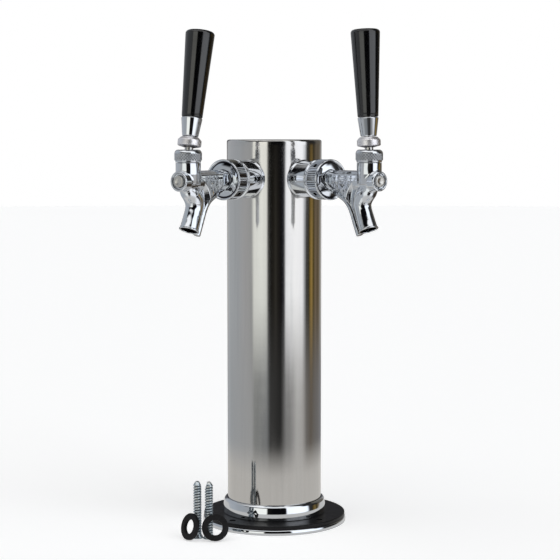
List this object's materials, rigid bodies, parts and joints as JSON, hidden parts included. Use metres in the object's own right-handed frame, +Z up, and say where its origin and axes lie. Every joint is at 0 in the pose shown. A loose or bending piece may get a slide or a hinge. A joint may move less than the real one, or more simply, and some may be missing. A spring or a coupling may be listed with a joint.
{
  "type": "beer tap tower",
  "caption": "Free-standing stainless dispensing column on a round screwed flange, with angled chrome taps and black lever handles.",
  "frame": {"origin": "on the floor plane under the middle of the tower's bounding box; the column axis is 24.23 mm behind it on +Y", "axes": "+Z up the column; the taps reach towards -Y, one to each side of it; +X to the right as seen from the front"},
  "size_m": [0.1618, 0.165, 0.3926],
  "materials": {
    "polished_stainless": "polished",
    "chrome": "mirror plated",
    "stainless": "machined",
    "brass": "machined, part plated",
    "zinc_plate": "bright zinc",
    "black_cover": "semi-gloss",
    "black_plastic": "gloss moulded",
    "rubber": "matte",
    "white_nylon": "matte"
  },
  "bodies": {
    "tower": {"base_cover_ring": "black_cover", "base_flange": "chrome", "column_tube": "polished_stainless", "foot_collar": "chrome", "left_ball_washer": "white_nylon", "left_bonnet": "chrome", "left_coupling_nut": "chrome", "left_coupling_washer": "rubber", "left_shank": "brass", "left_shank_locknut": "brass", "left_shank_sleeve": "chrome", "left_tail_stem": "stainless", "left_tap_body": "chrome", "loose_screw_1": "zinc_plate", "loose_screw_2": "zinc_plate", "loose_washer_1": "rubber", "loose_washer_2": "rubber", "right_ball_washer": "white_nylon", "right_bonnet": "chrome", "right_coupling_nut": "chrome", "right_coupling_washer": "rubber", "right_shank": "brass", "right_shank_locknut": "brass", "right_shank_sleeve": "chrome", "right_tail_stem": "stainless", "right_tap_body": "chrome", "top_cap": "polished_stainless"},
    "left_lever": {"left_lever": "stainless", "left_lever_collar": "chrome", "left_ferrule": "chrome", "left_handle": "black_plastic"},
    "left_shaft": {"left_shaft": "brass", "left_seat_washer": "rubber", "left_shaft_nut": "brass"},
    "right_lever": {"right_lever": "stainless", "right_lever_collar": "chrome", "right_ferrule": "chrome", "right_handle": "black_plastic"},
    "right_shaft": {"right_shaft": "brass", "right_seat_washer": "rubber", "right_shaft_nut": "brass"}
  },
  "joints": [
    {"name": "left_lever_swing", "type": "hinge", "parent": "tower", "child": "left_lever", "pos_m": [-0.06774, -0.06833, 0.2972], "axis": [0.807, -0.5906, 0], "range_deg": [0, 18]},
    {"name": "left_shaft_slide", "type": "slide", "parent": "tower", "child": "left_shaft", "axis": [0.5906, 0.807, 0], "range_m": [0, 0.0058]},
    {"name": "right_lever_swing", "type": "hinge", "parent": "tower", "child": "right_lever", "pos_m": [0.06774, -0.06833, 0.2972], "axis": [0.807, 0.5906, 0], "range_deg": [0, 18]},
    {"name": "right_shaft_slide", "type": "slide", "parent": "tower", "child": "right_shaft", "axis": [-0.5906, 0.807, 0], "range_m": [0, 0.0058]}
  ],
  "couplings": [
    {"joint": "left_shaft_slide", "follows": "left_lever_swing", "m_per_rad": 0.01819},
    {"joint": "right_shaft_slide", "follows": "right_lever_swing", "m_per_rad": 0.01819}
  ]
}
